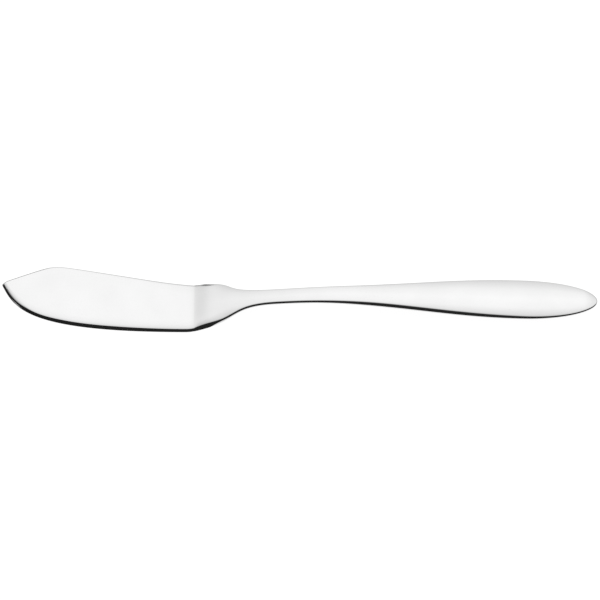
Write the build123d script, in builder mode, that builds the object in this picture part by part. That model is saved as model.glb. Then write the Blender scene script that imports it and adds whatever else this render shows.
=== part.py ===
"""Fish knife in stainless steel, lying flat as it lies on a table.

A ground blade and a forged handle meet at the heel line. A tongue of the blade, the tang, sits in a
slot of the handle, and a film of braze fills the joint. Millimetres, +Z up from the table, +X from
the blade's point to the end of the handle, +Y from the belly of the blade to its spine.
"""
import os
from math import asin, atan, cos, radians, sin, sqrt, tan

from build123d import *

# Overall sizes
overall_length = 205.0
overall_depth = 24.72  # lowest point of the belly to the top of the hump
blade_length = 66.2  # point to heel line
blade_thickness = 1.6
spine_round = 0.44  # rounding of the spine, as a share of the blade's thickness

# Blade outline
hump_from_point = 19.0
hump_radius = 16.5
front_rise = 20.8  # degrees, point to hump
spine_fall = 9.6  # degrees, hump to heel
spine_straight = 36.0  # from the hump's crown along X to where the spine flattens towards the heel
spine_at_heel = 5.15
point_blunt = 0.6  # flat that blunts the point, along each side
point_angle = 65.2  # degrees, belly below the X axis at the point
point_pull = 10.5  # how far the belly keeps that direction
belly_pull = 54.5  # how far the belly keeps level before it turns up to the point
belly_before_heel = 2.7  # lowest point of the belly to heel line
heel_sweep_radius = 14.0  # belly turning up again towards the handle

# Ground edge along the belly, narrow at the heel and wide at the belly
edge_land_low = 0.2
edge_land_high = 0.35
upper_bevel = 0.72
lower_bevel = 0.2
bevel_at_heel = 0.45
bevel_at_point = 0.7  # share of the full bevel left at the point

# Handle outline
handle_axis = -1.42  # Y of the handle's centre line
neck_half_width = 2.74
handle_half_width = 7.35
end_length = 25.6  # widest place to the end, a half ellipse
end_half_width = 1.8  # where the blunt end cuts that ellipse
end_chamfer = 0.25
shoulder_length = 28.3  # heel line to the neck, where the handle is slimmest
belly_leave = 14.7  # how far the belly side keeps its direction after the heel line
belly_arrive = 16.5  # how far it runs level into the neck
spine_leave = 18.2
spine_arrive = 22.8
flare_leave = 41.5  # how far the sides run level after the neck
flare_arrive = 29.7  # how far they run level into the widest place

# Handle side profile: a step behind the heel line, a ramp up to the crest, a fall to the end
step_run = 3.6
step_rise = 1.3
step_radius = 28.0
crest_from_heel = 45.4  # where ramp and fall would meet
crest_top = 8.5
crest_bottom = 4.4
crest_radius = 190.0
rest_from_end = 9.0  # flat under the end of the handle that touches the table
rest_ease = 8.0  # how far before and after its start the underside eases into that flat
end_thickness = 3.0
crown_rise = 0.5  # middle of the handle's top above its sides, at the widest place
crown_run = 7.0  # heel line to where the top is fully crowned
neck_rim = 1.3  # thickness of the handle's rim at the neck, above its bulging underside
grip_rim = 2.1  # the same at the widest place
rim_cut = 0.28  # chamfer that breaks the rim's corners, as a share of the rim
rim_round = 0.4  # rounding of the chamfer's corners, as a share of the rim
hull_depth = 0.75  # the underside bulges down from the rim by at most this share of the half width
stations_to_widest = 18
stations_to_end = 6
station_crowding = 1.5  # above 1, the sections stand closer together towards the heel

# Tang and braze
tang_length = 12.0
tang_width = 7.0
tang_thickness = 0.8
tang_axis = -2.0
tang_set = 7.5  # degrees, the tang is set up to follow the rising shoulder
tang_chamfer = 0.3
braze_gap = 0.1

# Places that follow from the sizes
heel = blade_length - overall_length / 2
handle_end = overall_length / 2
point_x = -overall_length / 2 - point_blunt * cos(radians(point_angle))
hump_x = hump_from_point - overall_length / 2
belly_y = -overall_depth / 2
belly_low_x = heel - belly_before_heel
heel_turn = asin(belly_before_heel / heel_sweep_radius)  # of the belly, lowest point to heel line
belly_at_heel = (cos(heel_turn), sin(heel_turn))
heel_low = (heel, belly_y + heel_sweep_radius * (1 - cos(heel_turn)))
heel_high = (heel, spine_at_heel)
neck = heel + shoulder_length
crest = heel + crest_from_heel
rest_start = handle_end - rest_from_end
rest_radius = rest_ease / tan(atan(crest_bottom / (rest_start - crest)) / 2)
widest = handle_end - end_length
room = 3.0  # how far cutting shapes reach past the metal
tang_plane = Plane.XZ.offset(-tang_axis)


def tang_middle(x):
    """Height of the tang's middle plane, which leaves the heel face at half the blade's thickness."""
    return blade_thickness / 2 + (x - heel) * tan(radians(tang_set))


def point_at(curve, x):
    """Point at x of a curve that runs along +X, found by halving."""
    low, high = 0.0, 1.0
    for _ in range(30):
        middle = (low + high) / 2
        if (curve @ middle).X < x:
            low = middle
        else:
            high = middle
    return curve @ low


os.makedirs("parts", exist_ok=True)

# Blade: a plate with a rounded spine, a ground edge and a tang
with BuildPart() as blade:
    with BuildSketch(Plane.XY) as blade_plan:
        with BuildLine():
            hump_centre = (hump_x, overall_depth / 2 - hump_radius)
            hump = CenterArc(hump_centre, hump_radius, 90 - spine_fall, spine_fall + front_rise)
            front_heading = Vector(cos(radians(front_rise)), sin(radians(front_rise)))
            corner = hump @ 1 - front_heading * (((hump @ 1).X - point_x) / front_heading.X)
            front = Line(hump @ 1, corner + front_heading * point_blunt)
            spine = PolarLine(hump @ 0, spine_straight, -spine_fall, length_mode=LengthMode.HORIZONTAL)
            TangentArc(spine @ 1, heel_high, tangent=spine % 1)
            Line(heel_high, heel_low)
            RadiusArc((belly_low_x, belly_y), heel_low, -heel_sweep_radius)
            point_heading = Vector(cos(radians(point_angle)), -sin(radians(point_angle)))
            point = corner + point_heading * point_blunt
            Line(front @ 1, point)
            belly_low = Vector(belly_low_x, belly_y)
            Bezier(point, point + point_heading * point_pull, belly_low - Vector(belly_pull, 0), belly_low)
        make_face()
    extrude(amount=blade_thickness)
    spine_edges = (
        blade.edges()
        .filter_by(Axis.Z, reverse=True)
        .filter_by(lambda edge: edge.center().Y > spine_at_heel - 1 and edge.center().X < heel - 0.1)
    )
    fillet(spine_edges, radius=spine_round * blade_thickness)

    # The ground edge: everything outside a hull of ruled surfaces along the belly goes
    for height, bevel in (
        (0, lower_bevel),
        (edge_land_low, 0),
        (edge_land_high, 0),
        (blade_thickness, upper_bevel),
    ):
        with BuildSketch(Plane.XY.offset(height)):
            with BuildLine():
                inward = Vector(sin(radians(point_angle)), cos(radians(point_angle))) * bevel * bevel_at_point
                start = point + inward
                heel_inset = min(bevel, bevel_at_heel)
                low = Vector(belly_low_x, belly_y + heel_inset)
                Bezier(start, start + point_heading * point_pull, low - Vector(belly_pull, 0), low)
                sweep_line = RadiusArc(low, Vector(*heel_low) + Vector(0, heel_inset), -heel_sweep_radius)
                Polyline(
                    sweep_line @ 1,
                    (heel + room, heel_low[1]),
                    (heel + room, overall_depth),
                    (point_x - room, overall_depth),
                    (point_x - room, (start - point_heading * room).Y),
                    start - point_heading * room,
                    start,
                )
            make_face()
    loft(ruled=True, mode=Mode.INTERSECT)

    with BuildSketch(tang_plane):
        with BuildLine():
            tang_root = Vector(heel - room, tang_middle(heel - room))
            tang_tip = Vector(heel + tang_length, tang_middle(heel + tang_length))
            half = Vector(0, tang_thickness / 2)
            Polyline(tang_root - half, tang_tip - half, tang_tip + half, tang_root + half, close=True)
        make_face()
    extrude(amount=tang_width / 2, both=True)
    tang_end = blade.faces().sort_by(Axis.X)[-1]
    chamfer(tang_end.edges(), length=tang_chamfer)

blade.part.label = "blade"
export_step(blade.part, "parts/blade.step")

# Lines that the handle is drawn from: top and underside seen from the side, and its two sides in plan
with BuildLine(Plane.XZ) as top_line:
    Polyline(
        (heel, blade_thickness),
        (heel + step_run, blade_thickness + step_rise),
        (crest, crest_top),
        (handle_end, end_thickness),
    )
    fillet(top_line.vertices().sort_by(Axis.X)[1], radius=step_radius)
    fillet(top_line.vertices().sort_by(Axis.X)[3], radius=crest_radius)

with BuildLine(Plane.XZ) as under_line:
    Polyline(
        (heel, 0),
        (crest, crest_bottom),
        (rest_start, 0),
        (handle_end, 0),
    )
    fillet(under_line.vertices().sort_by(Axis.X)[1], radius=crest_radius)
    fillet(under_line.vertices().sort_by(Axis.X)[3], radius=rest_radius)

with BuildLine() as belly_side:
    neck_low = Vector(neck, handle_axis - neck_half_width)
    widest_low = Vector(widest, handle_axis - handle_half_width)
    leave = Vector(*heel_low) + Vector(*belly_at_heel) * belly_leave
    Bezier(heel_low, leave, neck_low - Vector(belly_arrive, 0), neck_low)
    Bezier(neck_low, neck_low + Vector(flare_leave, 0), widest_low - Vector(flare_arrive, 0), widest_low)

with BuildLine() as spine_side:
    neck_high = Vector(neck, handle_axis + neck_half_width)
    widest_high = Vector(widest, handle_axis + handle_half_width)
    leave = Vector(*heel_high) + Vector(spine_leave, 0)
    Bezier(heel_high, leave, neck_high - Vector(spine_arrive, 0), neck_high)
    Bezier(neck_high, neck_high + Vector(flare_leave, 0), widest_high - Vector(flare_arrive, 0), widest_high)

# Stations of the handle's sections, closer together at the heel and at the end
end_reach = asin(sqrt(1 - (end_half_width / handle_half_width) ** 2))
ellipse_length = end_length / sin(end_reach)
shares = [(n / stations_to_widest) ** station_crowding for n in range(stations_to_widest + 1)]
places = [heel + (widest - heel) * share for share in shares]
end_turns = [end_reach * n / stations_to_end for n in range(1, stations_to_end + 1)]
places += [widest + ellipse_length * sin(turn) for turn in end_turns]

# Handle forging: one loft through sections with a crowned top, a rounded rim and a bulging underside
with BuildPart() as forging:
    for x in places:
        top = point_at(top_line.wire(), x).Z
        under = point_at(under_line.wire(), x).Z
        near = handle_axis - point_at(belly_side.wire(), x).Y
        far = point_at(spine_side.wire(), x).Y - handle_axis
        taper = sqrt(1 - (max(0, x - widest) / ellipse_length) ** 2)
        near = near * taper
        far = far * taper
        wide = max(near, far)
        crown = crown_rise * min(1, (x - heel) / crown_run) / handle_half_width**2
        depth = top - crown * wide**2 - under
        fullness = (wide - neck_half_width) / (handle_half_width - neck_half_width)
        rim = neck_rim + (grip_rim - neck_rim) * fullness
        bulge = max(0, min(depth - rim, hull_depth * wide)) / wide**2
        rim = depth - bulge * wide**2
        with BuildSketch(Plane((x, handle_axis, 0), x_dir=(0, 1, 0), z_dir=(1, 0, 0))) as section:
            with BuildLine():
                near_top = (-near, top - crown * near**2)
                far_top = (far, top - crown * far**2)
                near_low = (-near, under + bulge * near**2)
                far_low = (far, under + bulge * far**2)
                if crown:
                    ThreePointArc(near_top, (0, top), far_top)
                else:
                    Line(near_top, far_top)
                Line(far_top, far_low)
                if bulge:
                    ThreePointArc(far_low, (0, under), near_low)
                else:
                    Line(far_low, near_low)
                Line(near_low, near_top)
            make_face()
            chamfer(section.vertices(), length=rim_cut * rim)
            fillet(section.vertices(), radius=rim_round * rim)
    loft()
    chamfer(forging.faces().sort_by(Axis.X)[-1].edges(), length=end_chamfer)

# Slot for the tang, with room for the braze all round
with BuildPart() as slot:
    with BuildSketch(tang_plane):
        with BuildLine():
            slot_end = heel + tang_length + braze_gap
            slot_mouth = Vector(heel, tang_middle(heel))
            slot_floor = Vector(slot_end, tang_middle(slot_end))
            half = Vector(0, tang_thickness / 2 + braze_gap)
            Polyline(slot_mouth - half, slot_floor - half, slot_floor + half, slot_mouth + half, close=True)
        make_face()
    extrude(amount=tang_width / 2 + braze_gap, both=True)

joint_face = Plane.YZ.offset(heel + braze_gap)

with BuildPart() as handle:
    add(forging.part)
    split(bisect_by=joint_face, keep=Keep.TOP)
    add(slot.part, mode=Mode.SUBTRACT)

handle.part.label = "handle"
export_step(handle.part, "parts/handle.step")

# Braze: a film between the heel and the handle, and a sleeve around the tang
with BuildPart() as braze_seam:
    add(forging.part)
    split(bisect_by=joint_face, keep=Keep.BOTTOM)
    add(slot.part)
    add(blade.part, mode=Mode.SUBTRACT)

braze_seam.part.label = "braze_seam"
export_step(braze_seam.part, "parts/braze_seam.step")
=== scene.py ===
"""Fish knife in polished stainless steel: the looks of its blade, handle and braze, built on its frame.

The knife lies on a pale floor with its point to the left. Metres, +Z up, +X from the point to the end of
the handle, +Y from the belly of the blade to its spine.
"""
from math import cos, hypot, pi, radians, sin, sqrt, tan

import bpy
from bpy.props import FloatProperty, FloatVectorProperty, PointerProperty
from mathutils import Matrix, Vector


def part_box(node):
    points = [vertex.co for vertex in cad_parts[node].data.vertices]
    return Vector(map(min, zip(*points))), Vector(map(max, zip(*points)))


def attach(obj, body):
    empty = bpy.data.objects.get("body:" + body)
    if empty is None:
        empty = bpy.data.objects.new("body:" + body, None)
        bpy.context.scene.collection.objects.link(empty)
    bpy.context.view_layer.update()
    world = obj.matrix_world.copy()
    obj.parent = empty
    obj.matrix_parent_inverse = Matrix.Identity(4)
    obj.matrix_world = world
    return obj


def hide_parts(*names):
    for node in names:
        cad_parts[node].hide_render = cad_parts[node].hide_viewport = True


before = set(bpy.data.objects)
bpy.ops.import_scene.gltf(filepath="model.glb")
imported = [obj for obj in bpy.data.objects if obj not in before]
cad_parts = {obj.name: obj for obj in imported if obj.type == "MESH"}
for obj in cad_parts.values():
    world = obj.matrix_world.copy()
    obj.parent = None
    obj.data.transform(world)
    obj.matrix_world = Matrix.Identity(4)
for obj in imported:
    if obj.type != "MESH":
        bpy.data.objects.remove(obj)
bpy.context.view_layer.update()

bl_info = {
    "name": "Fish knife",
    "version": (1, 0, 0),
    "blender": (4, 5, 0),
    "location": "3D View > Sidebar > Fish knife",
    "description": "Models a polished fish knife on its frame, and the studio around it",
    "category": "Add Mesh",
}

MM = 0.001
CRISP = radians(30)  # corners sharper than this stay crisp in the shading
MERGE = 0.002 * MM  # points nearer to each other than this become one

# Places that the frame gives
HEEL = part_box("braze_seam")[0].x
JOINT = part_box("handle")[0].x
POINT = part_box("blade")[0].x - 0.2 * MM  # the blunt point runs out a little further
BELLY_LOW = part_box("blade")[0].y
HANDLE_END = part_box("handle")[1].x - 0.25 * MM  # polishing has taken the end back a little
TANG_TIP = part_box("blade")[1].x
TANG_ROOT = HEEL - 3 * MM  # inside the blade

# Cells of the mesh around a section
EDGE_STEPS = 6  # along each of an edge's four roundings
TOP_CELLS = 30
UNDER_CELLS = 18
EDGE_CELLS = 4 * (EDGE_STEPS + 1) - 1
GROUND_CELL = EDGE_STEPS  # cell of an edge, counted from the top, that holds the flat of its upper cut


def linear(hex_colour):
    """Linear RGBA of an sRGB hex colour such as 'D8D7D4'."""
    channels = [int(hex_colour[n : n + 2], 16) / 255 for n in (0, 2, 4)]
    return tuple(c / 12.92 if c <= 0.04045 else ((c + 0.055) / 1.055) ** 2.4 for c in channels) + (1.0,)


def length(name, description, millimetres):
    """A length property, given in millimetres."""
    return FloatProperty(
        name=name, description=description, default=millimetres * MM, unit="LENGTH", precision=5
    )


def degrees(name, description, value):
    """An angle property, given in degrees."""
    return FloatProperty(name=name, description=description, default=radians(value), subtype="ANGLE")


def share(name, description, value):
    """A property between 0 and 1."""
    return FloatProperty(name=name, description=description, default=value, min=0, max=1, subtype="FACTOR")


def number(name, description, value):
    """A plain number property."""
    return FloatProperty(name=name, description=description, default=value)


def colour(name, description, hex_colour):
    """A colour property, given as an sRGB hex value."""
    default = linear(hex_colour)
    return FloatVectorProperty(
        name=name, description=description, default=default, size=4, min=0, max=1, subtype="COLOR"
    )


class BladeSizes(bpy.types.PropertyGroup):
    """Sizes of the blade."""

    thickness: length("Thickness", "Plate thickness of the blade", 1.6)
    spine_at_point: length("Spine at the point", "Y of the point", 5.7)
    tip_slope: number("Tip slope", "Rise of the short cut that blunts the point", 0.7)
    tip_length: length("Tip length", "Length of that cut", 1.7)
    tip_softness: length("Tip softness", "How long the cut takes to turn into the front", 0.3)
    front_slope: number("Front slope", "Rise of the front from point to hump", 0.394)
    hump_from_point: length("Hump", "Point to hump, along the knife", 17.6)
    hump_turn: number("Hump turn", "Change of slope at the hump", -0.5736)
    hump_softness: length("Hump softness", "How long the hump takes to turn", 2.9)
    spine_ease_from_heel: length("Spine ease", "Place where the spine flattens, before the heel", 8.3)
    spine_ease_turn: number("Spine ease turn", "Change of slope there", 0.092)
    spine_ease_softness: length("Spine ease softness", "How long the spine takes to flatten", 6.0)
    point_angle: degrees("Point angle", "Belly below the knife's axis at the point", 63.3)
    point_pull: length("Point pull", "How far the belly keeps that direction", 10.1)
    belly_pull: length("Belly pull", "How far the belly keeps level before it turns up to the point", 54.5)
    belly_before_heel: length("Belly low", "Lowest point of the belly, before the heel", 2.7)
    heel_sweep_radius: length("Heel sweep", "Radius of the belly turning up towards the handle", 14.0)
    spine_radius: length("Spine radius", "Rounding of the spine at the point", 0.35)
    spine_radius_at_heel: length("Spine radius at the heel", "Rounding of the spine at the shoulder", 0.75)
    roll_width: length("Roll width", "Strip of the face along the edges that polishing has rolled off", 3.4)
    roll_depth: length("Roll depth", "How far that strip falls at the ground edge", 0.24)
    roll_power: number("Roll power", "How much steeper that strip gets towards the edge", 1.6)
    roll_at_point: length("Roll at the point", "How far that strip falls at the point", 0.45)
    roll_at_point_run: length("Point roll run", "Length behind the point on which that fall runs out", 10.0)
    spine_roll: length("Spine roll", "How far the strip along the spine falls at the heel", 0.12)
    spine_roll_run: length("Spine roll run", "Length before the heel on which that fall grows", 25.0)
    bevel_width: length("Bevel width", "Ground edge along the belly, seen from above", 0.75)
    bevel_at_heel: length("Bevel at the heel", "Width of the ground edge where it meets the shoulder", 0.45)
    bevel_at_heel_run: length("Heel bevel run", "Length before the heel on which the edge narrows", 30.0)
    bevel_at_point: length("Bevel at the point", "Width of the ground edge at the point", 0.32)
    bevel_at_point_run: length("Point bevel run", "Length behind the point on which the edge widens", 22.0)
    bevel_height: length("Bevel height", "Height of the ground edge", 1.25)
    bevel_rounding: length("Bevel rounding", "Polished rounding of the ground edge's corners", 0.1)
    point_rounding: length("Point rounding", "Wider polished rounding of the ground edge at the point", 1.5)
    point_rounding_run: length("Point rounding run", "Length behind the point on which it runs out", 16.0)
    under_bevel: length("Under bevel", "Small bevel under the ground edge", 0.08)
    tang_width: length("Tang width", "Width of the tang inside the handle", 7.0)
    tang_thickness: length("Tang thickness", "Thickness of the tang", 0.8)
    tang_axis: length("Tang axis", "Y of the tang's middle", -2.0)
    tang_set: degrees("Tang set", "How far the tang is set up to follow the shoulder", 7.5)


class HandleSizes(bpy.types.PropertyGroup):
    """Sizes of the handle."""

    axis: length("Axis", "Y of the handle's centre line", -1.42)
    spine_at_heel: length("Spine at the heel", "Y of the far side at the heel line", 5.3)
    neck_from_heel: length("Neck", "Heel line to the neck, where the handle is slimmest", 28.3)
    neck_half_width: length("Neck half width", "Half width of the neck", 2.74)
    belly_leave: length("Near side leave", "How far the near side keeps its direction after the heel", 16.6)
    belly_arrive: length("Near side arrive", "How far the near side runs level into the neck", 16.2)
    spine_leave: length("Far side leave", "How far the far side keeps its direction after the heel", 18.2)
    spine_lift: length("Far side lift", "How far it swings out on that length", 0.3)
    spine_arrive: length("Far side arrive", "How far the far side runs level into the neck", 22.8)
    flare_leave: length("Flare leave", "How far the sides run level after the neck", 41.5)
    flare_arrive: length("Flare arrive", "How far the sides run level into the widest place", 29.7)
    half_width: length("Half width", "Half width at the widest place", 7.35)
    end_length: length("End length", "Widest place to the end, a half ellipse", 25.6)
    step_slope: number("Step slope", "Slope of the step behind the heel line", 0.29)
    heel_lead: length("Heel lead", "How far before the heel line the face turns up to the step", 0.15)
    heel_softness: length("Heel softness", "How long the face takes to turn up there", 1.0)
    step_run: length("Step run", "Length of the step", 4.4)
    step_softness: length("Step softness", "How long the step takes to ease into the ramp", 1.5)
    ramp_slope: number("Ramp slope", "Slope of the ramp up to the crest", 0.149)
    crest_from_heel: length("Crest", "Heel line to the crest of the top", 43.6)
    crest_softness: length("Crest softness", "How long the crest takes to turn", 14.7)
    fall_slope: number("Fall slope", "Slope of the top down to the end", -0.064)
    under_slope: number("Under slope", "Rise of the underside up to its crest", 0.097)
    under_crest_from_heel: length("Under crest", "Heel line to the crest of the underside", 45.4)
    under_softness: length("Under softness", "How long the underside takes to turn there", 7.0)
    under_fall: number("Under fall", "Slope of the underside down to the end", -0.0526)
    rest_from_end: length("Rest", "Flat under the end that touches the table", 9.0)
    rest_softness: length("Rest softness", "How long the underside takes to turn into that flat", 6.0)
    crown_rise: length("Crown", "Middle of the top above its sides at the widest place", 0.52)
    crown_run: length("Crown run", "Heel line to the place where the crown is full", 12.0)
    crown_power: number("Crown power", "How fast the crown's height grows with the handle's width", 4 / 3)
    neck_rim_radius: length("Rim at the neck", "Rounding of the rim at the neck", 0.57)
    grip_rim_radius: length("Rim at the grip", "Rounding of the rim where the handle is held", 0.9)
    grip_rim_from_heel: length("Grip rim", "Heel line to where the neck's rim starts to grow", 39.3)
    grip_rim_run: length("Grip rim run", "Length on which it grows", 28.0)
    end_rim_radius: length("Rim at the end", "Rounding of the rim at the end", 0.32)
    end_rim_from_heel: length("End rim", "Heel line to where the grip's rim starts to slim down", 88.3)
    end_rim_run: length("End rim run", "Length on which it slims down", 55.0)
    far_rim_share: share("Far rim", "Rounding of the far rim's top against the near rim's", 0.55)
    far_rim_settle: length("Far rim settle", "Length on which the spine turns into the far rim", 15.0)
    far_rim_run: length("Far rim run", "Length on which the far rim becomes as full as the near one", 40.0)
    far_facet_length: length("Far facet length", "Ground facet on the shoulder's far side", 9.0)
    far_facet_width: length("Far facet width", "Width of that facet where it is fullest", 1.15)
    far_facet_height: length("Far facet height", "Height of that facet where it is fullest", 0.5)
    far_facet_stand: length("Far facet stand", "How far the far side stands out there", 0.12)
    far_facet_peak: number("Far facet peak", "Below 1, that facet is fullest before its middle", 0.95)
    far_facet_crisp: share("Far facet crispness", "Share of their rounding that its corners lose", 0.5)
    step_roll: number("Step roll", "Roll of the step's near side against the blade's", 1.6)
    step_roll_run: length("Step roll run", "Length behind the heel on which that roll grows", 2.0)
    end_roll: length("End roll", "How far polishing has rolled off the top at the end", 0.4)
    end_lift: length("End lift", "How far the underside is rounded up at the end", 0.9)
    end_roll_run: length("End roll run", "Length on which the end is rolled off and rounded up", 5.0)
    rim_wall: length("Rim wall", "Upright part of the rim between its two roundings", 0.15)
    hull_depth: share("Hull depth", "Most bulge of the underside, as a share of the half width", 0.75)
    hull_from_heel: length("Hull", "Heel line to where the underside starts to bulge", 6.0)
    hull_run: length("Hull run", "Length on which the bulge grows", 10.0)
    facet_length: length("Facet length", "Ground facet on the shoulder's near side", 10.5)
    facet_width: length("Facet width", "Extra width of that facet where it is fullest", 0.36)
    facet_height: length("Facet height", "Extra height of that facet where it is fullest", 1.6)
    facet_peak: number("Facet peak", "Below 1, that facet is fullest before its middle", 0.55)


class SteelFinish(bpy.types.PropertyGroup):
    """Colours and finish of the metals."""

    steel: colour("Steel", "Polished stainless steel", "E6E6E6")
    steel_dull: colour("Steel, dull", "The same steel where polishing left it a little duller", "E3E3E3")
    braze: colour("Braze", "Silver braze in the joint", "E4E4E3")
    roughness: share("Roughness", "Roughness of the mirror polish", 0.07)
    edge_roughness: share("Edge roughness", "Roughness of the ground edge", 0.16)
    braze_roughness: share("Braze roughness", "Roughness of the braze where it is roughest", 0.12)
    scratch_roughness: share("Scratch roughness", "Roughness that a scratch adds", 0.12)
    wear_roughness: share("Wear roughness", "Roughness that wear adds along the edges", 0.05)
    polish_line: length("Polish line", "Distance between polishing lines", 0.3)
    polish_run: length("Polish run", "Length of a polishing line", 18.0)
    scratch_run: length("Scratch run", "Length of a hairline scratch", 9.0)
    scratch_slant: degrees("Scratch slant", "Turn of the scratches from the knife's axis", 11.0)
    scratch_depth: share("Scratch depth", "Depth of a scratch against the polishing lines", 0.6)
    grinding_run: length("Grinding run", "Length of a grinding mark across the edge", 4.0)
    braze_pit: length("Braze pit", "Size of a pit in the braze", 0.2)
    cloud: length("Cloud", "Size of the duller patches", 14.0)
    relief: length("Relief", "Depth of the marks in the metals", 0.02)


class StudioSettings(bpy.types.PropertyGroup):
    """Camera, floor and light."""

    elevation: degrees("Elevation", "Camera above the floor", 62.0)
    lens: number("Lens", "Focal length of the camera in millimetres", 200.0)
    frame_width: length("Frame width", "Width that the picture shows at the knife", 206.67)
    aim_x: length("Aim X", "Place on the floor that the camera looks at", 0.07)
    aim_y: length("Aim Y", "Place on the floor that the camera looks at", 0.18)
    floor: colour("Floor", "Light of the white floor", "FFFFFF")
    floor_base: colour("Floor base", "Opal acrylic of the floor itself", "7A7A7A")
    floor_glow: number("Floor glow", "Light of the floor itself, as on a light table", 0.95)
    floor_size: length("Floor size", "Side of the floor", 8000.0)
    floor_grain: length("Floor grain", "Size of the floor's grain", 0.5)
    floor_relief: length("Floor relief", "Depth of that grain", 0.05)
    box_light: number("Softbox", "Brightness of the overhead softbox", 1.22)
    flag: share("Flag", "Share of the softbox's light that a black flag on the left takes away", 0.93)
    fill_light: number("Fill", "Brightness of the light on the floor", 1.0)
    fill_angle: degrees("Fill angle", "Spread of that light", 120.0)


# Curves and sections


def smooth(value):
    """Soft step from 0 to 1."""
    value = min(1.0, max(0.0, value))
    return value * value * (3 - 2 * value)


def mix(first, second, amount):
    """Value between first and second."""
    return first + (second - first) * amount


def bent_line(x, start, slope, bends):
    """Height at x of a line that leaves start with a slope and turns softly at each bend.

    A bend is (place, change of slope, softness).
    """
    height = start[1] + slope * (x - start[0])
    for place, turn, softness in bends:
        height += turn / 2 * (x - start[0] + hypot(x - place, softness) - hypot(start[0] - place, softness))
    return height


def bezier_at(x, corners):
    """Height at x of a Bezier curve that runs along X, found by halving."""
    halvings = 40
    low = 0.0
    high = 1.0
    for _ in range(halvings):
        t = (low + high) / 2
        s = 1 - t
        weights = (s**3, 3 * s * s * t, 3 * s * t * t, t**3)
        if sum(w * corner[0] for w, corner in zip(weights, corners)) < x:
            low = t
        else:
            high = t
    return sum(w * corner[1] for w, corner in zip(weights, corners))


def rounded(corners, radii):
    """Points along a line of corners, with each inner corner rounded to a circular arc.

    An arc takes less than half of a line, so that two arcs never meet in one point.
    """
    most = 0.48
    points = []
    for before, corner, after, radius in zip(corners, corners[1:], corners[2:], radii):
        back = before - corner
        ahead = after - corner
        half_turn = (pi - back.angle(ahead)) / 2
        reach = min(radius * tan(half_turn), most * back.length, most * ahead.length)
        start = corner + back.normalized() * reach
        end = corner + ahead.normalized() * reach
        for n in range(EDGE_STEPS + 1):
            t = n / EDGE_STEPS
            weights = ((1 - t) ** 2, 2 * cos(half_turn) * t * (1 - t), t * t)
            points.append((start * weights[0] + corner * weights[1] + end * weights[2]) / sum(weights))
    return points


class Edge:
    """Section of an edge: how the top and the underside are cut back, and how those cuts are rounded."""

    def __init__(self, upper_cut, upper_radius, lower_cut, lower_radius):
        self.upper_cut = upper_cut
        self.upper_radius = upper_radius
        self.lower_cut = lower_cut
        self.lower_radius = lower_radius

    @classmethod
    def round(cls, radius):
        """Edge rounded above and below: two cuts at 45 degrees whose roundings meet."""
        cut = radius * (2 - sqrt(2))
        return cls((cut, cut), radius, (cut, cut), radius)

    def points(self, top, under):
        """(inset, height) points from the top down to the underside, which are functions of the inset."""
        upper_inset, drop = self.upper_cut
        lower_inset, rise = self.lower_cut
        hold = 1.0 * MM
        least_land = 0.05 * MM
        land_low = under(0) + rise
        corners = [
            Vector((upper_inset + hold, top(upper_inset + hold))),
            Vector((upper_inset, top(upper_inset))),
            Vector((0, max(top(0) - drop, land_low + least_land))),
            Vector((0, land_low)),
            Vector((lower_inset, under(lower_inset))),
            Vector((lower_inset + hold, under(lower_inset + hold))),
        ]
        radii = [self.upper_radius, self.upper_radius, self.lower_radius, self.lower_radius]
        return rounded(corners, radii)


class Station:
    """One section across the knife: its two sides in plan and the edges there."""

    def __init__(self, x, belly, spine, belly_edge, spine_edge):
        self.sides = [Vector((x, belly)), Vector((x, spine))]
        self.edges = [belly_edge, spine_edge]


def inward(stations):
    """Inward normals in plan of both sides of each station. The first section is square to X."""
    count = len(stations)
    outline = [s.sides[0] for s in stations] + [s.sides[1] for s in reversed(stations[:-1])]
    hand = 1 if stations[-1].sides[0].x > stations[0].sides[0].x else -1
    normals = [Vector((0, 1))]
    for before, after in zip(outline, outline[2:]):
        along = (after - before).normalized() * hand
        normals.append(Vector((-along.y, along.x)))
    normals.append(Vector((0, -1)))
    tip = normals[count - 1]
    return list(zip(normals[: count - 1], reversed(normals[count:]))) + [(tip, tip)]


def loops_of(stations, top, under):
    """Edge points of both sides at each station, with loops that cross before the tip brought together."""
    rows = []
    for station, normals in zip(stations, inward(stations)):
        row = []
        for side, normal, edge in zip(station.sides, normals, station.edges):
            profile = edge.points(
                lambda inset: top(side + normal * inset),
                lambda inset: under(side + normal * inset),
            )
            loop_points = []
            for inset, height in profile:
                place = side + normal * inset
                loop_points.append(Vector((place.x, place.y, height)))
            row.append(loop_points)
        rows.append(row)
    for loop in range(EDGE_CELLS + 1):
        meeting = None
        last_gap = 0
        for n, (belly, spine) in enumerate(rows):
            gap = spine[loop].y - belly[loop].y
            if meeting is None and gap <= 0 and n:
                amount = last_gap / (last_gap - gap)
                before = rows[n - 1]
                meeting = before[0][loop].lerp(belly[loop], amount)
                meeting = meeting.lerp(before[1][loop].lerp(spine[loop], amount), 0.5)
            if meeting is not None:
                belly[loop] = meeting
                spine[loop] = meeting
            last_gap = gap
    return rows


def rings_of(stations, top, under):
    """Closed rings of points: across the top, down the spine side, back below and up the belly side."""
    rings = []
    for belly, spine in loops_of(stations, top, under):
        ring = [belly[0]]
        for n in range(1, TOP_CELLS):
            place = belly[0].lerp(spine[0], n / TOP_CELLS)
            ring.append(Vector((place.x, place.y, top(place.to_2d()))))
        ring += spine[:-1]
        for n in range(UNDER_CELLS):
            place = spine[-1].lerp(belly[-1], n / UNDER_CELLS)
            ring.append(Vector((place.x, place.y, under(place.to_2d()))))
        ring += reversed(belly)
        rings.append(ring)
    return rings


# Modelling steps


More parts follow.
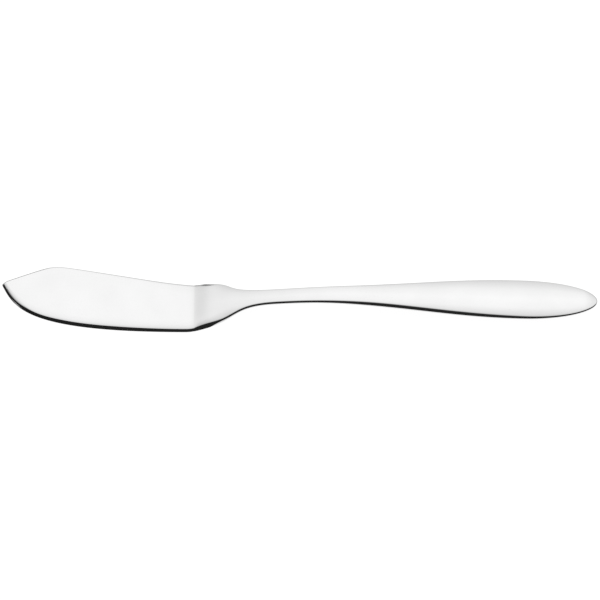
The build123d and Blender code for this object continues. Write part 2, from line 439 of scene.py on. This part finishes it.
def deselect():
    """Object mode with nothing selected."""
    if bpy.context.object and bpy.context.object.mode != "OBJECT":
        bpy.ops.object.mode_set(mode="OBJECT")
    bpy.ops.object.select_all(action="DESELECT")


def select_only(piece):
    """Object mode with only the piece selected, and active."""
    deselect()
    bpy.context.view_layer.objects.active = piece
    piece.select_set(True)


def roll_sheet(name, rings):
    """Adds a grid and rolls it around the rings, with one row of its points on each ring."""
    deselect()
    around = len(rings[0]) - 1
    along = len(rings) - 1
    bpy.ops.mesh.primitive_grid_add(x_subdivisions=around, y_subdivisions=along, size=1)
    piece = bpy.context.object
    piece.name = name
    piece.data.name = name
    flat = [coordinate for ring in rings for point in ring for coordinate in point]
    piece.data.vertices.foreach_set("co", flat)
    piece.data.update()
    return piece


def close_sheet(piece):
    """Merges the seam and the tip, caps the heel and turns the faces outwards."""
    select_only(piece)
    bpy.ops.object.mode_set(mode="EDIT")
    bpy.ops.mesh.select_all(action="SELECT")
    bpy.ops.mesh.remove_doubles(threshold=MERGE)
    bpy.ops.mesh.select_all(action="DESELECT")
    bpy.ops.mesh.select_mode(type="EDGE")
    bpy.ops.mesh.select_non_manifold(extend=False, use_wire=False, use_multi_face=False, use_verts=False)
    bpy.ops.mesh.edge_face_add()
    bpy.ops.mesh.select_all(action="SELECT")
    bpy.ops.mesh.normals_make_consistent(inside=False)
    bpy.ops.object.mode_set(mode="OBJECT")


def tang_box(name, sizes, root, clearance):
    """A bar along the tang from the root to its tip, larger all round by the clearance."""
    deselect()
    bar_length = TANG_TIP + clearance - root
    bpy.ops.mesh.primitive_cube_add(size=1)
    bar = bpy.context.object
    bar.name = name
    for vertex in bar.data.vertices:
        x = root + (vertex.co.x + 0.5) * bar_length
        y = sizes.tang_axis + vertex.co.y * (sizes.tang_width + 2 * clearance)
        middle = sizes.thickness / 2 + (x - HEEL) * tan(sizes.tang_set)
        vertex.co = (x, y, middle + vertex.co.z * (sizes.tang_thickness + 2 * clearance))
    return bar


def combine(piece, tool, operation):
    """Joins the tool to the piece or cuts it out, and removes the tool."""
    select_only(piece)
    modifier = piece.modifiers.new(operation.title(), "BOOLEAN")
    modifier.operation = operation
    modifier.solver = "EXACT"
    modifier.object = tool
    bpy.ops.object.modifier_apply(modifier=modifier.name)
    bpy.data.objects.remove(tool)


def shade(piece):
    """Smooth shading that keeps sharp edges crisp."""
    select_only(piece)
    bpy.ops.object.shade_smooth_by_angle(angle=CRISP)
    deselect()


# Materials


def set_inputs(tree, node, inputs):
    """Sets inputs of a node, each to a value or to the output socket that is linked to it."""
    for name, value in inputs.items():
        if isinstance(value, bpy.types.NodeSocket):
            tree.links.new(value, node.inputs[name])
        else:
            node.inputs[name].default_value = value


def add_node(tree, kind, settings, inputs):
    """Adds a node with its settings and inputs."""
    node = tree.nodes.new(kind)
    for name, value in settings.items():
        setattr(node, name, value)
    set_inputs(tree, node, inputs)
    return node


def noise(tree, place, size, detail, roughness):
    """Noise with features of a size."""
    inputs = {"Vector": place, "Scale": 1 / size, "Detail": detail, "Roughness": roughness}
    return add_node(tree, "ShaderNodeTexNoise", {}, inputs).outputs["Fac"]


def stretched(tree, place, scale, turn):
    """The place, turned about Z and scaled along each axis."""
    inputs = {"Vector": place, "Rotation": (0, 0, turn), "Scale": scale}
    return add_node(tree, "ShaderNodeMapping", {}, inputs).outputs["Vector"]


def between(tree, value, start=0, end=1, low=0, high=1):
    """Turns a value from start to end into one from low to high."""
    inputs = {"Value": value, "From Min": start, "From Max": end, "To Min": low, "To Max": high}
    return add_node(tree, "ShaderNodeMapRange", {}, inputs).outputs["Result"]


def calculate(tree, operation, *values):
    """Result of a math operation on one to three values."""
    inputs = dict(enumerate(values))
    return add_node(tree, "ShaderNodeMath", {"operation": operation}, inputs).outputs["Value"]


def embossed(tree, height, strength, depth):
    """Normal of a surface that the height gives a relief."""
    inputs = {"Strength": strength, "Distance": depth, "Height": height}
    return add_node(tree, "ShaderNodeBump", {}, inputs).outputs["Normal"]


def new_material(name):
    """A node material with its tree, its Principled shader and the place on the object."""
    material = bpy.data.materials.new(name)
    material.use_nodes = True
    tree = material.node_tree
    place = add_node(tree, "ShaderNodeTexCoord", {}, {}).outputs["Object"]
    return material, tree, tree.nodes["Principled BSDF"], place


def mirror_steel(name, finish):
    """Mirror polished stainless steel.

    It shows the room like a mirror. Faint polishing lines run along the knife, hairline scratches cross
    them, and patches that the mop left duller blur the reflection a little.
    """
    material, tree, shader, place = new_material(name)
    along = stretched(tree, place, (finish.polish_line / finish.polish_run, 1, 1), 0)
    lines = noise(tree, along, finish.polish_line, detail=3.0, roughness=0.6)
    hair = finish.polish_line / 2
    slanted = stretched(tree, place, (hair / finish.scratch_run, 1, 1), finish.scratch_slant)
    hairs = noise(tree, slanted, hair, detail=1.0, roughness=0.5)
    scratches = between(tree, hairs, start=0.7, end=0.76)
    clouds = noise(tree, place, finish.cloud, detail=2.0, roughness=0.5)
    dullness = between(tree, clouds, start=0.35, end=0.65)
    wear = add_node(tree, "ShaderNodeAttribute", {"attribute_name": "wear"}, {}).outputs["Fac"]
    colours = {"Factor": dullness, "A": finish.steel, "B": finish.steel_dull}
    tint = add_node(tree, "ShaderNodeMix", {"data_type": "RGBA"}, colours).outputs["Result"]
    polished = between(tree, dullness, low=0.9 * finish.roughness, high=1.15 * finish.roughness)
    scuffed = calculate(tree, "MULTIPLY_ADD", scratches, finish.scratch_roughness, polished)
    worn = calculate(tree, "MULTIPLY_ADD", wear, finish.wear_roughness, scuffed)
    height = calculate(tree, "MULTIPLY_ADD", scratches, -finish.scratch_depth, lines)
    normal = embossed(tree, height, strength=0.06, depth=finish.relief)
    look = {"Base Color": tint, "Metallic": 1.0, "Roughness": worn, "Normal": normal}
    set_inputs(tree, shader, look)
    return material


def ground_steel(name, finish):
    """Ground stainless steel of the blunt edge, softer than the mirror: grinding marks run across it."""
    material, tree, shader, place = new_material(name)
    across = stretched(tree, place, (1, finish.polish_line / finish.grinding_run, 0.1), 0)
    marks = noise(tree, across, finish.polish_line, detail=3.0, roughness=0.5)
    roughness = between(tree, marks, low=0.7 * finish.edge_roughness, high=1.4 * finish.edge_roughness)
    normal = embossed(tree, marks, strength=0.15, depth=finish.relief)
    look = {"Base Color": finish.steel_dull, "Metallic": 1.0, "Roughness": roughness, "Normal": normal}
    set_inputs(tree, shader, look)
    return material


def silver_braze(name, finish):
    """Silver braze dressed flush with the steel: a little warmer and duller, and finely pitted."""
    material, tree, shader, place = new_material(name)
    pits = noise(tree, place, finish.braze_pit, detail=2.0, roughness=0.5)
    roughness = between(tree, pits, low=0.5 * finish.braze_roughness, high=finish.braze_roughness)
    normal = embossed(tree, pits, strength=0.05, depth=finish.relief)
    look = {"Base Color": finish.braze, "Metallic": 1.0, "Roughness": roughness, "Normal": normal}
    set_inputs(tree, shader, look)
    return material


def matt_floor(name, settings):
    """Matt white floor of a light table.

    It glows, so that the knife throws hardly any shadow on its faint grain.
    """
    material, tree, shader, place = new_material(name)
    grain = noise(tree, place, settings.floor_grain, detail=2.0, roughness=0.5)
    look = {
        "Base Color": settings.floor_base,
        "Emission Color": settings.floor,
        "Emission Strength": settings.floor_glow,
        "Roughness": 0.95,
        "Specular IOR Level": 0.0,
        "Normal": embossed(tree, grain, strength=0.02, depth=settings.floor_relief),
    }
    set_inputs(tree, shader, look)
    return material


def give_wear(piece, rings):
    """Writes how far each point lies on an edge as the attribute that the steel reads."""
    levels = []
    for _ in rings:
        levels += [0.0] * TOP_CELLS
        levels += [1.0] * EDGE_CELLS
        levels += [0.0] * UNDER_CELLS
        levels += [1.0] * (EDGE_CELLS + 1)
    wear = piece.data.attributes.new("wear", "FLOAT", "POINT")
    wear.data.foreach_set("value", levels)


# Outlines and surfaces of the two pieces


def blade_belly(x, sizes):
    """Y of the belly at x."""
    low = HEEL - sizes.belly_before_heel
    if x > low:
        return BELLY_LOW + (x - low) ** 2 / (2 * sizes.heel_sweep_radius)
    point = (POINT, sizes.spine_at_point)
    pulled = (
        POINT + sizes.point_pull * cos(sizes.point_angle),
        sizes.spine_at_point - sizes.point_pull * sin(sizes.point_angle),
    )
    return bezier_at(x, (point, pulled, (low - sizes.belly_pull, BELLY_LOW), (low, BELLY_LOW)))


def blade_spine(x, sizes):
    """Y of the spine at x: the front rises to the hump, then the spine falls and flattens to the heel."""
    bends = (
        (POINT + sizes.tip_length, sizes.front_slope - sizes.tip_slope, sizes.tip_softness),
        (POINT + sizes.hump_from_point, sizes.hump_turn, sizes.hump_softness),
        (HEEL - sizes.spine_ease_from_heel, sizes.spine_ease_turn, sizes.spine_ease_softness),
    )
    return bent_line(x, (POINT, sizes.spine_at_point), sizes.tip_slope, bends)


def spine_rounding(x, sizes):
    """Rounding of the spine at x, fuller towards the heel."""
    return mix(sizes.spine_radius, sizes.spine_radius_at_heel, (x - POINT) / (HEEL - POINT))


def edge_roll(x, from_belly, from_spine, blade, handle):
    """How far the polished face has rolled off at x and at its distances from the belly and the spine."""
    belly_depth = mix(blade.roll_at_point, blade.roll_depth, smooth((x - POINT) / blade.roll_at_point_run))
    belly_depth *= mix(1, handle.step_roll, smooth((x - HEEL) / handle.step_roll_run))
    spine_depth = blade.spine_roll * smooth((x - HEEL) / blade.spine_roll_run + 1)
    belly_fall = max(0, 1 - from_belly / blade.roll_width) ** blade.roll_power
    spine_fall = max(0, 1 - from_spine / blade.roll_width) ** blade.roll_power
    return belly_depth * belly_fall + spine_depth * spine_fall


def heel_rise(x, handle):
    """How far the face has turned up to the step at x."""
    bend = (HEEL - handle.heel_lead, handle.step_slope, handle.heel_softness)
    return bent_line(x, (POINT, 0), 0, [bend])


def blade_top(place, sizes, handle):
    """Height of the blade's face: flat, rolled off along its edges and turned up at the heel."""
    from_belly = place.y - blade_belly(place.x, sizes)
    from_spine = blade_spine(place.x, sizes) - place.y
    rolled = edge_roll(place.x, from_belly, from_spine, sizes, handle)
    return sizes.thickness + heel_rise(place.x, handle) - rolled


def blade_edge(x, sizes):
    """Ground edge of the belly at x, widest along the belly."""
    from_heel = smooth((HEEL - x) / sizes.bevel_at_heel_run)
    from_point = smooth((x - POINT) / sizes.bevel_at_point_run)
    width = mix(sizes.bevel_at_heel, mix(sizes.bevel_at_point, sizes.bevel_width, from_point), from_heel)
    settled = smooth((x - POINT) / sizes.point_rounding_run)
    rounding = mix(sizes.point_rounding, sizes.bevel_rounding, settled)
    under = (sizes.under_bevel, sizes.under_bevel)
    return Edge((width, sizes.bevel_height), rounding, under, sizes.bevel_rounding)


def blade_stations(sizes):
    """Sections from the heel to the point, closer together towards the point."""
    count = 170
    crowding = 1.5
    stations = []
    for n in range(count + 1):
        x = POINT + (HEEL - POINT) * (1 - n / count) ** crowding
        belly_edge = blade_edge(x, sizes)
        spine_edge = Edge.round(spine_rounding(x, sizes))
        stations.append(Station(x, blade_belly(x, sizes), blade_spine(x, sizes), belly_edge, spine_edge))
    stations[-1].sides[1] = stations[-1].sides[0].copy()
    return stations


def handle_belly(x, sizes, blade):
    """Y of the handle's near side at x, up to the widest place."""
    heel = Vector((HEEL, blade_belly(HEEL, blade)))
    neck = Vector((HEEL + sizes.neck_from_heel, sizes.axis - sizes.neck_half_width))
    if x > neck.x:
        return sizes.axis - flare(x, sizes)
    leave = heel + Vector((1, blade.belly_before_heel / blade.heel_sweep_radius)) * sizes.belly_leave
    arrive = neck - Vector((sizes.belly_arrive, 0))
    return bezier_at(x, (heel, leave, arrive, neck))


def handle_spine(x, sizes):
    """Y of the handle's far side at x, up to the widest place."""
    heel = Vector((HEEL, sizes.spine_at_heel))
    neck = Vector((HEEL + sizes.neck_from_heel, sizes.axis + sizes.neck_half_width))
    if x > neck.x:
        return sizes.axis + flare(x, sizes)
    leave = heel + Vector((sizes.spine_leave, sizes.spine_lift))
    arrive = neck - Vector((sizes.spine_arrive, 0))
    return bezier_at(x, (heel, leave, arrive, neck)) + sizes.far_facet_stand * far_facet(x, sizes)


def far_facet(x, sizes):
    """How full the facet on the shoulder's far side is at x, from 0 to 1."""
    amount = min(1, max(0, (x - HEEL) / sizes.far_facet_length))
    return sin(pi * amount**sizes.far_facet_peak) ** 2


def flare(x, sizes):
    """Half width of the handle from the neck to the end."""
    neck = Vector((HEEL + sizes.neck_from_heel, sizes.neck_half_width))
    widest = Vector((HANDLE_END - sizes.end_length, sizes.half_width))
    if x > widest.x:
        return sizes.half_width * sqrt(max(0, 1 - ((x - widest.x) / sizes.end_length) ** 2))
    leave = neck + Vector((sizes.flare_leave, 0))
    arrive = widest - Vector((sizes.flare_arrive, 0))
    return bezier_at(x, (neck, leave, arrive, widest))


def rim_radius(x, sizes):
    """Rounding of the handle's rim at x: slim at the neck, full where it is held, slim at the end."""
    grip = smooth((x - HEEL - sizes.grip_rim_from_heel) / sizes.grip_rim_run)
    end = smooth((x - HEEL - sizes.end_rim_from_heel) / sizes.end_rim_run)
    return mix(mix(sizes.neck_rim_radius, sizes.grip_rim_radius, grip), sizes.end_rim_radius, end)


def handle_near_edge(x, sizes, blade):
    """Near edge of the handle: the blade's ground edge runs out as a facet, then the rim is round."""
    rim = Edge.round(rim_radius(x, sizes))
    amount = (x - HEEL) / sizes.facet_length
    if amount >= 1:
        return rim
    bulge = sin(pi * amount**sizes.facet_peak) ** 2
    fade = smooth(amount)
    start = blade_edge(HEEL, blade)
    return Edge(
        (
            mix(start.upper_cut[0], rim.upper_cut[0], fade) + sizes.facet_width * bulge,
            mix(start.upper_cut[1], rim.upper_cut[1], fade) + sizes.facet_height * bulge,
        ),
        mix(start.upper_radius, rim.upper_radius, fade),
        (mix(start.lower_cut[0], rim.lower_cut[0], fade), mix(start.lower_cut[1], rim.lower_cut[1], fade)),
        mix(start.lower_radius, rim.lower_radius, fade),
    )


def handle_far_edge(x, sizes, blade):
    """Far edge of the handle: round as the blade's spine, a facet on the step, then a slim round rim."""
    rim = rim_radius(x, sizes)
    settled = smooth((x - HEEL) / sizes.far_rim_settle)
    full = smooth((x - HEEL - sizes.end_rim_from_heel) / sizes.far_rim_run)
    upper = mix(blade.spine_radius_at_heel, mix(sizes.far_rim_share, 1, full) * rim, settled)
    lower = Edge.round(mix(blade.spine_radius_at_heel, rim, settled))
    cut, drop = Edge.round(upper).upper_cut
    facet = far_facet(x, sizes)
    return Edge(
        (mix(cut, sizes.far_facet_width, facet), mix(drop, sizes.far_facet_height, facet)),
        upper * (1 - sizes.far_facet_crisp * facet),
        lower.lower_cut,
        lower.lower_radius,
    )


def handle_station(x, sizes, blade):
    """Section of the handle at x, up to the widest place."""
    return Station(
        x,
        handle_belly(x, sizes, blade),
        handle_spine(x, sizes),
        handle_near_edge(x, sizes, blade),
        handle_far_edge(x, sizes, blade),
    )


def handle_stations(sizes, blade):
    """Sections from the joint to the end, closer together on the step and at the end."""
    widest = HANDLE_END - sizes.end_length
    straight = 210
    turn = 48
    crowding = 1.3
    stations = []
    for n in range(straight):
        x = JOINT + (widest - JOINT) * (n / straight) ** crowding
        stations.append(handle_station(x, sizes, blade))
    for n in range(turn + 1):
        angle = pi / 2 * n / turn
        x = widest + sizes.end_length * sin(angle)
        half = sizes.half_width * cos(angle)
        near_edge = handle_near_edge(x, sizes, blade)
        far_edge = handle_far_edge(x, sizes, blade)
        stations.append(Station(x, sizes.axis - half, sizes.axis + half, near_edge, far_edge))
    return stations


class HandleSurface:
    """Top and underside of the handle as functions of a place in plan."""

    def __init__(self, sizes, blade):
        self.sizes = sizes
        self.blade = blade

    def end_share(self, x):
        """How far the rounding of the handle's end has gone at x, from 0 to 1 at the end."""
        return max(0, 1 - (HANDLE_END - x) / self.sizes.end_roll_run) ** 2

    def crest_line(self, x):
        """Height of the top along the handle's axis."""
        sizes = self.sizes
        bends = (
            (HEEL - sizes.heel_lead, sizes.step_slope, sizes.heel_softness),
            (HEEL + sizes.step_run, sizes.ramp_slope - sizes.step_slope, sizes.step_softness),
            (HEEL + sizes.crest_from_heel, sizes.fall_slope - sizes.ramp_slope, sizes.crest_softness),
        )
        return bent_line(x, (HEEL, self.blade.thickness + heel_rise(HEEL, sizes)), 0, bends)

    def keel_line(self, x):
        """Height of the underside along the handle's axis."""
        sizes = self.sizes
        crest = HEEL + sizes.under_crest_from_heel
        bends = (
            (crest, sizes.under_fall - sizes.under_slope, sizes.under_softness),
            (HANDLE_END - sizes.rest_from_end, -sizes.under_fall, sizes.rest_softness),
        )
        return bent_line(x, (HEEL, 0), sizes.under_slope, bends) + sizes.end_lift * self.end_share(x)

    def side(self, place):
        """Distance of the nearer side from the axis at the place."""
        least = 0.1 * MM
        if place.y < self.sizes.axis:
            reach = self.sizes.axis - handle_belly(place.x, self.sizes, self.blade)
        else:
            reach = handle_spine(place.x, self.sizes) - self.sizes.axis
        return max(reach, least)

    def crown(self, x, offset, side):
        """How far the crowned top lies below its axis line at an offset from the axis."""
        sizes = self.sizes
        full = sizes.crown_rise * (offset / side) ** 2 * (side / sizes.half_width) ** sizes.crown_power
        return full * smooth((x - HEEL) / sizes.crown_run)

    def top(self, place):
        """Height of the crowned top. The blade's roll along its edges runs out on the shoulder."""
        sizes = self.sizes
        height = self.crest_line(place.x) - self.crown(place.x, place.y - sizes.axis, self.side(place))
        run_out = smooth((place.x - HEEL) / sizes.facet_length)
        if run_out < 1:
            from_belly = place.y - handle_belly(place.x, sizes, self.blade)
            from_spine = handle_spine(place.x, sizes) - place.y
            height -= edge_roll(place.x, from_belly, from_spine, self.blade, sizes) * (1 - run_out)
        return height - sizes.end_roll * self.end_share(place.x)

    def under(self, place):
        """Height of the underside, which rises from the keel towards the rim."""
        sizes = self.sizes
        side = self.side(place)
        rim = 2 * rim_radius(place.x, sizes) + sizes.rim_wall
        keel = self.keel_line(place.x)
        rise = self.crest_line(place.x) - keel - self.crown(place.x, side, side) - rim
        rise = max(0.0, min(rise, sizes.hull_depth * side))
        rise *= smooth((place.x - HEEL - sizes.hull_from_heel) / sizes.hull_run)
        return keel + rise * ((place.y - sizes.axis) / side) ** 2


# Operators


class KNIFE_OT_blade(bpy.types.Operator):
    """Models the blade with its ground edge, rounded spine and tang"""

    bl_idname = "knife.blade"
    bl_label = "Blade"

    def execute(self, context):
        sizes = context.scene.knife_blade
        handle = context.scene.knife_handle
        finish = context.scene.knife_finish
        stations = blade_stations(sizes)
        rings = rings_of(stations, lambda place: blade_top(place, sizes, handle), lambda place: 0.0)
        blade = roll_sheet("fish_knife_blade", rings)
        give_wear(blade, rings)
        blade.data.materials.append(mirror_steel("mirror_polished_stainless_blade", finish))
        blade.data.materials.append(ground_steel("ground_stainless_edge", finish))
        around = len(rings[0]) - 1
        ground = around - 1 - GROUND_CELL
        for face in blade.data.polygons:
            if face.index % around == ground:
                face.material_index = 1
        close_sheet(blade)
        combine(blade, tang_box("tang", sizes, TANG_ROOT, 0.0), "UNION")
        shade(blade)
        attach(blade, "root")
        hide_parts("blade")
        return {"FINISHED"}


class KNIFE_OT_handle(bpy.types.Operator):
    """Models the handle with its step, shoulder, neck, crowned grip and slot"""

    bl_idname = "knife.handle"
    bl_label = "Handle"

    def execute(self, context):
        sizes = context.scene.knife_handle
        blade = context.scene.knife_blade
        finish = context.scene.knife_finish
        surface = HandleSurface(sizes, blade)
        rings = rings_of(handle_stations(sizes, blade), surface.top, surface.under)
        handle = roll_sheet("fish_knife_handle", rings)
        give_wear(handle, rings)
        handle.data.materials.append(mirror_steel("mirror_polished_stainless_handle", finish))
        close_sheet(handle)
        combine(handle, tang_box("slot", blade, TANG_ROOT, JOINT - HEEL), "DIFFERENCE")
        shade(handle)
        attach(handle, "root")
        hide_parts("handle")
        return {"FINISHED"}


class KNIFE_OT_braze(bpy.types.Operator):
    """Models the braze: the film in the heel joint and the sleeve around the tang"""

    bl_idname = "knife.braze"
    bl_label = "Braze"

    def execute(self, context):
        sizes = context.scene.knife_handle
        blade = context.scene.knife_blade
        surface = HandleSurface(sizes, blade)
        rings = []  # each is the first of a few sections, which is square to the knife's axis
        for start in (HEEL, JOINT):
            stations = [handle_station(start + n * MM, sizes, blade) for n in range(4)]
            rings.append(rings_of(stations, surface.top, surface.under)[0])
        seam = roll_sheet("fish_knife_braze", rings)
        seam.data.materials.append(silver_braze("silver_braze", context.scene.knife_finish))
        close_sheet(seam)
        combine(seam, tang_box("sleeve", blade, HEEL, JOINT - HEEL), "UNION")
        combine(seam, tang_box("tang", blade, TANG_ROOT, 0.0), "DIFFERENCE")
        shade(seam)
        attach(seam, "root")
        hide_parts("braze_seam")
        return {"FINISHED"}


# Light of the softbox and cover of the flag, as (degrees, level) along two angles. The lean is 0 where a
# level mirror shows the studio to the camera, positive from there over the top towards the camera and
# negative down to the horizon behind. The sideways angle is negative to the left.
SOFTBOX_LEAN = (
    (-180, 0.85), (-100, 0.8), (-66, 0.64), (-60, 0.57), (-28, 0.6), (-15, 0.74),
    (-8, 0.93), (0, 1), (8, 0.96), (15, 0.72), (22, 0.45), (30, 0.18),
    (42, 0.045), (60, 0.016), (170, 0.016), (175, 0.7), (180, 0.85),
)
SOFTBOX_SIDEWAYS = (
    (-90, 0.03), (-70, 0.05), (-58, 0.3), (-45, 0.66), (-34, 0.75), (-28, 0.79), (-17, 0.87), (-13, 0.92),
    (-9, 0.96), (0, 0.985), (9, 1), (14, 0.97), (22, 0.87), (40, 0.7), (90, 0.5),
)
FLAG_LEAN = ((-178, 0), (-165, 1), (-40, 1), (-30, 0))
FLAG_SIDEWAYS = ((-60, 1), (-12.5, 1), (-9, 0), (0, 0))


def light_curve(tree, angle, points):
    """Level along an angle, as a ramp through (degrees, level) points."""
    low = points[0][0]
    high = points[-1][0]
    amount = between(tree, angle, start=radians(low), end=radians(high))
    ramp = add_node(tree, "ShaderNodeValToRGB", {}, {"Fac": amount})
    stops = ramp.color_ramp.elements
    while len(stops) < len(points):
        stops.new(0.5)
    for stop, (place, level) in zip(stops, points):
        stop.position = (place - low) / (high - low)
        stop.color = (level, level, level, 1)
    return ramp.outputs["Color"]


def studio_world(settings):
    """Dark studio with one large softbox overhead and behind, and a black flag on its left."""
    world = bpy.data.worlds.new("studio")
    bpy.context.scene.world = world
    world.use_nodes = True
    tree = world.node_tree
    direction = add_node(tree, "ShaderNodeTexCoord", {}, {}).outputs["Generated"]
    mirror = (0, cos(settings.elevation), sin(settings.elevation))
    over = (0, -sin(settings.elevation), cos(settings.elevation))
    shares = []
    for axis in (over, mirror, (1, 0, 0)):
        dot = add_node(tree, "ShaderNodeVectorMath", {"operation": "DOT_PRODUCT"}, {0: direction, 1: axis})
        shares.append(dot.outputs["Value"])
    lean = calculate(tree, "ARCTAN2", shares[0], shares[1])
    sideways = calculate(tree, "ARCSINE", shares[2])
    levels = []
    for leaning, turning in ((SOFTBOX_LEAN, SOFTBOX_SIDEWAYS), (FLAG_LEAN, FLAG_SIDEWAYS)):
        over_lean = light_curve(tree, lean, leaning)
        over_side = light_curve(tree, sideways, turning)
        levels.append(calculate(tree, "MULTIPLY", over_lean, over_side))
    softbox, flag = levels
    passed = calculate(tree, "MULTIPLY_ADD", flag, -settings.flag, 1)
    light = calculate(tree, "MULTIPLY", softbox, passed)
    set_inputs(tree, tree.nodes["Background"], {"Color": light, "Strength": settings.box_light})


class KNIFE_OT_stage(bpy.types.Operator):
    """Sets the floor, the light and the camera"""

    bl_idname = "knife.stage"
    bl_label = "Stage"

    def execute(self, context):
        settings = context.scene.knife_studio
        deselect()
        bpy.ops.mesh.primitive_plane_add(size=settings.floor_size)
        floor = context.object
        floor.name = "floor"
        floor.data.materials.append(matt_floor("matt_white_floor", settings))
        floor.visible_glossy = False
        studio_world(settings)
        bpy.ops.object.light_add(type="SUN", rotation=(0, 0, 0))
        fill = context.object
        fill.name = "floor_fill"
        fill.data.energy = settings.fill_light
        fill.data.angle = settings.fill_angle
        fill.visible_glossy = False
        aim = Vector((settings.aim_x, settings.aim_y, 0))
        back = Vector((0, -cos(settings.elevation), sin(settings.elevation)))
        bpy.ops.object.camera_add()
        camera = context.object
        camera.name = "camera"
        camera.data.lens = settings.lens
        distance = settings.frame_width * settings.lens / camera.data.sensor_width
        camera.location = aim + back * distance
        camera.rotation_euler = (pi / 2 - settings.elevation, 0, 0)
        camera.data.clip_end = 20
        context.scene.camera = camera
        context.scene.view_settings.view_transform = "Standard"
        return {"FINISHED"}


class KNIFE_PT_panel(bpy.types.Panel):
    """Lists the steps that build the knife"""

    bl_idname = "KNIFE_PT_panel"
    bl_label = "Fish knife"
    bl_space_type = "VIEW_3D"
    bl_region_type = "UI"
    bl_category = "Fish knife"

    def draw(self, context):
        for operator in OPERATORS:
            self.layout.operator(operator.bl_idname)


OPERATORS = (KNIFE_OT_blade, KNIFE_OT_handle, KNIFE_OT_braze, KNIFE_OT_stage)
GROUPS = {
    "knife_blade": BladeSizes,
    "knife_handle": HandleSizes,
    "knife_finish": SteelFinish,
    "knife_studio": StudioSettings,
}


def register():
    for group in GROUPS.values():
        bpy.utils.register_class(group)
    for name, group in GROUPS.items():
        setattr(bpy.types.Scene, name, PointerProperty(type=group))
    for operator in OPERATORS:
        bpy.utils.register_class(operator)
    bpy.utils.register_class(KNIFE_PT_panel)


def unregister():
    bpy.utils.unregister_class(KNIFE_PT_panel)
    for operator in reversed(OPERATORS):
        bpy.utils.unregister_class(operator)
    for name in GROUPS:
        delattr(bpy.types.Scene, name)
    for group in reversed(list(GROUPS.values())):
        bpy.utils.unregister_class(group)


def main():
    """Builds the pieces and the stage."""
    register()
    bpy.ops.knife.blade()
    bpy.ops.knife.handle()
    bpy.ops.knife.braze()
    bpy.ops.knife.stage()


if __name__ == "__main__":
    main()
